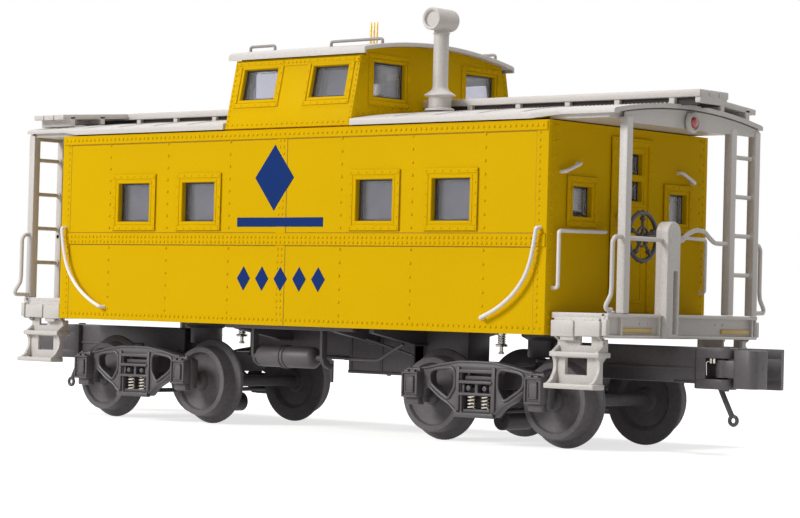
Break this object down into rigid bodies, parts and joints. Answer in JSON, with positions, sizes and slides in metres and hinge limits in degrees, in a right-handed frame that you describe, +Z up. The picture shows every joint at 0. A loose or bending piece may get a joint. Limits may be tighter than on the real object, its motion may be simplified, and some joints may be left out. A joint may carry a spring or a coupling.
{
  "type": "toy train caboose",
  "caption": "Toy cupola caboose: hollow cabin with windows, open end platforms with ladders and steps, swivelling cast trucks, turning axles and hinged knuckle couplers.",
  "frame": {"origin": "on the floor below the middle of the car, at the lowest points of the wheel flanges", "axes": "+X along the car to the near end, +Y to the left seen towards +X, +Z up"},
  "size_m": [0.2304, 0.0644, 0.1003],
  "materials": {
    "yellow_paint": "satin",
    "silver_paint": "satin",
    "black_paint": "satin",
    "black_casting": "satin",
    "wheel_steel": "blackened",
    "white_wire": "satin",
    "bright_steel": "bright",
    "dark_wheel": "satin",
    "brass": "bright",
    "clear_plastic": "clear",
    "red_lens": "polished"
  },
  "bodies": {
    "carbody": {"body_shell": "yellow_paint", "cupola_shell": "yellow_paint", "side_glazing_right": "clear_plastic", "side_glazing_left": "clear_plastic", "cupola_glazing": "clear_plastic", "cupola_roof": "silver_paint", "smoke_jack": "silver_paint", "cupola_rail_near": "white_wire", "cupola_rail_far": "white_wire", "roof_pins": "brass", "underframe": "black_paint", "air_tank": "black_paint", "brake_gear": "black_paint", "roof_near": "silver_paint", "roofwalk_near": "silver_paint", "platform_near": "silver_paint", "end_frame_near": "silver_paint", "brake_stand_near": "silver_paint", "marker_housing_near": "silver_paint", "brake_wheel_near": "dark_wheel", "marker_lens_near": "red_lens", "end_glazing_near": "clear_plastic", "side_grab_right_near": "white_wire", "side_grab_left_near": "white_wire", "end_grab_right_near": "white_wire", "end_grab_left_near": "white_wire", "roof_far": "silver_paint", "roofwalk_far": "silver_paint", "platform_far": "silver_paint", "end_frame_far": "silver_paint", "brake_stand_far": "silver_paint", "marker_housing_far": "silver_paint", "brake_wheel_far": "dark_wheel", "marker_lens_far": "red_lens", "end_glazing_far": "clear_plastic", "side_grab_right_far": "white_wire", "side_grab_left_far": "white_wire", "end_grab_right_far": "white_wire", "end_grab_left_far": "white_wire"},
    "truck_near": {"bolster_near": "black_casting", "side_frame_right_near": "black_casting", "side_frame_left_near": "black_casting", "springs_near": "bright_steel", "coupler_near": "black_casting", "pickup_near": "black_casting"},
    "axle_outer_near": {"wheelset_outer_near": "wheel_steel"},
    "axle_inner_near": {"wheelset_inner_near": "wheel_steel"},
    "knuckle_near": {"knuckle_near": "black_casting"},
    "truck_far": {"bolster_far": "black_casting", "side_frame_right_far": "black_casting", "side_frame_left_far": "black_casting", "springs_far": "bright_steel", "coupler_far": "black_casting", "pickup_far": "black_casting"},
    "axle_outer_far": {"wheelset_outer_far": "wheel_steel"},
    "axle_inner_far": {"wheelset_inner_far": "wheel_steel"},
    "knuckle_far": {"knuckle_far": "black_casting"}
  },
  "joints": [
    {"name": "truck_swivel_near", "type": "hinge", "parent": "carbody", "child": "truck_near", "pos_m": [0.0552, 0, 0.0218], "axis": [0, 0, 1], "range_deg": [-18, 18]},
    {"name": "axle_outer_spin_near", "type": "hinge", "parent": "truck_near", "child": "axle_outer_near", "pos_m": [0.0728, 0, 0.0105], "axis": [0, 1, 0], "continuous": true},
    {"name": "axle_inner_spin_near", "type": "hinge", "parent": "truck_near", "child": "axle_inner_near", "pos_m": [0.0376, 0, 0.0105], "axis": [0, 1, 0], "continuous": true},
    {"name": "knuckle_swing_near", "type": "hinge", "parent": "truck_near", "child": "knuckle_near", "pos_m": [0.1063, -0.003, 0.01875], "axis": [0, 0, 1], "range_deg": [-55, 0]},
    {"name": "truck_swivel_far", "type": "hinge", "parent": "carbody", "child": "truck_far", "pos_m": [-0.0552, 0, 0.0218], "axis": [0, 0, 1], "range_deg": [-18, 18]},
    {"name": "axle_outer_spin_far", "type": "hinge", "parent": "truck_far", "child": "axle_outer_far", "pos_m": [-0.0728, 0, 0.0105], "axis": [0, 1, 0], "continuous": true},
    {"name": "axle_inner_spin_far", "type": "hinge", "parent": "truck_far", "child": "axle_inner_far", "pos_m": [-0.0376, 0, 0.0105], "axis": [0, 1, 0], "continuous": true},
    {"name": "knuckle_swing_far", "type": "hinge", "parent": "truck_far", "child": "knuckle_far", "pos_m": [-0.1063, 0.003, 0.01875], "axis": [0, 0, 1], "range_deg": [-55, 0]}
  ]
}
